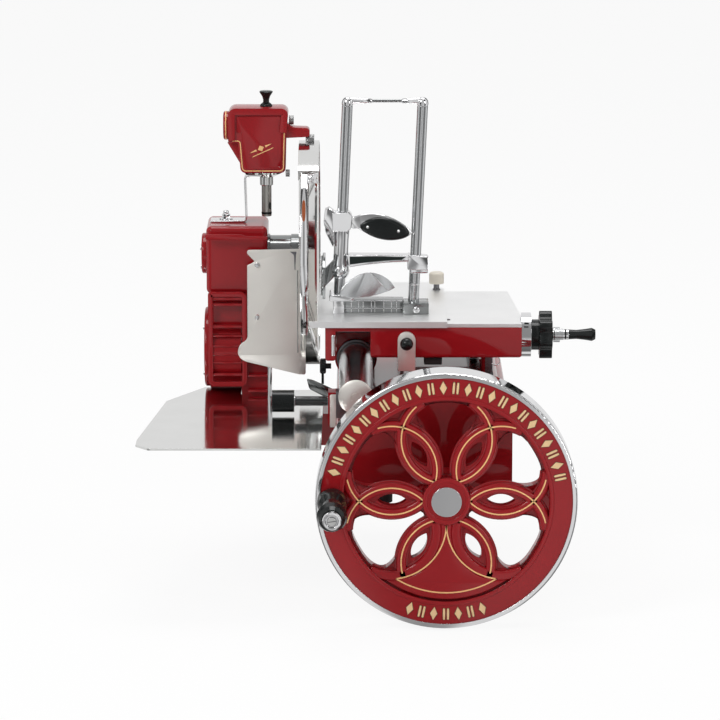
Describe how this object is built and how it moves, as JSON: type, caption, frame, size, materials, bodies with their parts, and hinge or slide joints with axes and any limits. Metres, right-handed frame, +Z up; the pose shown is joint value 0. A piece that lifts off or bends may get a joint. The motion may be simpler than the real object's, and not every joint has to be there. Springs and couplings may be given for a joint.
{
  "type": "hand crank meat slicer",
  "caption": "Flywheel slicer turned by hand: a wheel with a grip drives a circular blade and a sliding carriage with a plate and a press, and a sharpener sits above the blade.",
  "frame": {"origin": "centre of the four stand bolt holes, in the plane that the rubber feet stand on", "axes": "+X to the operator's right, +Y away from the operator along the flywheel's axis, +Z up"},
  "size_m": [0.651, 0.735, 0.7019],
  "materials": {
    "red_enamel": "high gloss enamel",
    "chrome": "polished chrome",
    "bright_steel": "polished stainless steel",
    "dark_steel": "oiled machined steel",
    "black_grip": "glossy black",
    "bronze": "machined bronze",
    "black_rubber": "matte",
    "ivory_knob": "satin",
    "grey_steel": "satin",
    "stone": "fine grit"
  },
  "bodies": {
    "frame": {"base_casting": "red_enamel", "bottom_pan": "dark_steel", "rubber_feet": "black_rubber", "chain_case": "red_enamel", "case_covers": "red_enamel", "cover_screws": "chrome", "drive_chains": "dark_steel", "spindle_housing": "red_enamel", "blade_guard": "bright_steel", "bearing_bushes": "bronze", "guide_bar": "chrome", "bar_brackets": "dark_steel", "carriage_rail": "dark_steel", "rocker_pivot_pin": "dark_steel", "sharpener_bracket": "chrome"},
    "flywheel": {"flywheel": "red_enamel", "flywheel_rim": "chrome", "flywheel_shaft": "dark_steel", "hub_cap": "chrome", "handle_pin": "chrome"},
    "handle": {"handle_grip": "black_grip"},
    "cross_shaft": {"cross_shaft": "dark_steel", "cross_bevel_gear": "dark_steel", "crank_disc": "dark_steel", "drive_sprocket": "dark_steel"},
    "chain_shaft": {"chain_shaft": "dark_steel", "chain_shaft_sprockets": "dark_steel"},
    "blade": {"blade_spindle": "dark_steel", "blade": "bright_steel", "blade_cover": "bright_steel"},
    "rocker": {"rocker_lever": "dark_steel"},
    "connecting_rod": {"connecting_rod": "dark_steel"},
    "carriage": {"carriage_casting": "red_enamel", "carriage_bushes": "bronze", "table_plate": "bright_steel", "feed_collar": "chrome", "front_strap": "chrome"},
    "carriage_roller": {"carriage_roller": "dark_steel"},
    "thickness_knob": {"thickness_knob": "black_grip"},
    "feed_screw": {"feed_screw": "bright_steel", "feed_crank": "black_grip"},
    "feed_grip": {"feed_crank_grip": "black_grip"},
    "latch": {"latch_lever": "dark_steel"},
    "product_plate": {"product_plate": "bright_steel", "plate_peg": "ivory_knob", "press_frame": "chrome"},
    "press": {"press_slide": "chrome"},
    "press_lever": {"press_lever": "dark_steel", "press_grip": "black_grip"},
    "press_lock": {"press_lock_lever": "grey_steel"},
    "deflector": {"slice_deflector": "bright_steel"},
    "tray": {"receiving_tray": "bright_steel"},
    "clamp": {"clamp_knob": "black_grip"},
    "sharpener": {"sharpener_housing": "red_enamel", "sharpener_covers": "red_enamel", "sharpener_flange": "chrome", "sharpener_knobs": "chrome"},
    "sharpener_plunger": {"sharpener_spindle": "chrome", "sharpener_push_knob": "black_grip", "sharpening_stones": "stone"}
  },
  "joints": [
    {"name": "flywheel_spin", "type": "hinge", "parent": "frame", "child": "flywheel", "pos_m": [0.0297, -0.307, 0.031], "axis": [0, 1, 0], "continuous": true},
    {"name": "grip_spin", "type": "hinge", "parent": "flywheel", "child": "handle", "pos_m": [-0.1283, -0.36, 0.031], "axis": [0, 1, 0], "continuous": true},
    {"name": "cross_shaft_spin", "type": "hinge", "parent": "frame", "child": "cross_shaft", "pos_m": [0, 0.15, 0.031], "axis": [1, 0, 0], "continuous": true},
    {"name": "chain_shaft_spin", "type": "hinge", "parent": "frame", "child": "chain_shaft", "pos_m": [-0.27, 0.15, 0.156], "axis": [1, 0, 0], "continuous": true},
    {"name": "blade_spin", "type": "hinge", "parent": "frame", "child": "blade", "pos_m": [-0.16, 0.15, 0.297], "axis": [1, 0, 0], "continuous": true},
    {"name": "carriage_slide", "type": "slide", "parent": "frame", "child": "carriage", "axis": [0, 1, 0], "range_m": [-0.11, 0.05]},
    {"name": "rocker_swing", "type": "hinge", "parent": "frame", "child": "rocker", "pos_m": [0.099, -0.02, 0.046], "axis": [-1, 0, 0], "range_deg": [-56, 26]},
    {"name": "rod_swing", "type": "hinge", "parent": "rocker", "child": "connecting_rod", "pos_m": [0.106, -0.01397, 0.06851], "axis": [-1, 0, 0], "range_deg": [-26, 56]},
    {"name": "roller_spin", "type": "hinge", "parent": "carriage", "child": "carriage_roller", "pos_m": [0.076, 0.045, 0.1713], "axis": [1, 0, 0], "range_deg": [-262, 575]},
    {"name": "thickness_knob_turn", "type": "hinge", "parent": "carriage", "child": "thickness_knob", "pos_m": [0.17, -0.028, 0.21], "axis": [1, 0, 0], "range_deg": [-170, 170]},
    {"name": "feed_screw_turn", "type": "hinge", "parent": "carriage", "child": "feed_screw", "pos_m": [0.19, -0.028, 0.21], "axis": [1, 0, 0], "range_deg": [-5, 3605]},
    {"name": "plate_feed", "type": "slide", "parent": "carriage", "child": "product_plate", "axis": [1, 0, 0], "range_m": [0, 0.08]},
    {"name": "feed_grip_spin", "type": "hinge", "parent": "feed_screw", "child": "feed_grip", "pos_m": [0.22, -0.06712, 0.21832], "axis": [1, 0, 0], "continuous": true},
    {"name": "latch_turn", "type": "hinge", "parent": "carriage", "child": "latch", "pos_m": [0.095, -0.049, 0.201], "axis": [0, 1, 0], "range_deg": [-35, 5]},
    {"name": "press_lift", "type": "slide", "parent": "product_plate", "child": "press", "axis": [0.0436, 0, 0.999], "range_m": [0, 0.13]},
    {"name": "press_lever_turn", "type": "hinge", "parent": "press", "child": "press_lever", "pos_m": [-0.11768, -0.002, 0.36646], "axis": [0, -1, 0], "range_deg": [0, 30]},
    {"name": "press_lock_turn", "type": "hinge", "parent": "product_plate", "child": "press_lock", "pos_m": [-0.1153, -0.005, 0.2663], "axis": [0, -1, 0], "range_deg": [0, 45]},
    {"name": "deflector_pull", "type": "slide", "parent": "frame", "child": "deflector", "axis": [0, -1, 0], "range_m": [0, 0.05]},
    {"name": "tray_slide", "type": "slide", "parent": "frame", "child": "tray", "axis": [0, -1, 0], "range_m": [0, 0.12]},
    {"name": "clamp_turn", "type": "hinge", "parent": "frame", "child": "clamp", "pos_m": [-0.2, -0.04, 0.1146], "axis": [1, 0, 0], "range_deg": [-90, 90]},
    {"name": "sharpener_lift", "type": "slide", "parent": "frame", "child": "sharpener", "axis": [0, 0, 1], "range_m": [0, 0.04]},
    {"name": "sharpener_plunge", "type": "slide", "parent": "sharpener", "child": "sharpener_plunger", "axis": [0, 0, 1], "range_m": [-0.003, 0], "stiffness_N_per_m": 500, "springref_m": 0.03}
  ],
  "couplings": [
    {"joint": "cross_shaft_spin", "follows": "flywheel_spin", "ratio": -1},
    {"joint": "chain_shaft_spin", "follows": "flywheel_spin", "ratio": -1},
    {"joint": "blade_spin", "follows": "flywheel_spin", "ratio": -2.875},
    {"joint": "rocker_swing", "follows": "carriage_slide", "rad_per_m": 8.7266},
    {"joint": "rod_swing", "follows": "carriage_slide", "rad_per_m": -8.7266},
    {"joint": "roller_spin", "follows": "carriage_slide", "rad_per_m": -90.909},
    {"joint": "feed_screw_turn", "follows": "plate_feed", "rad_per_m": 785.4}
  ]
}
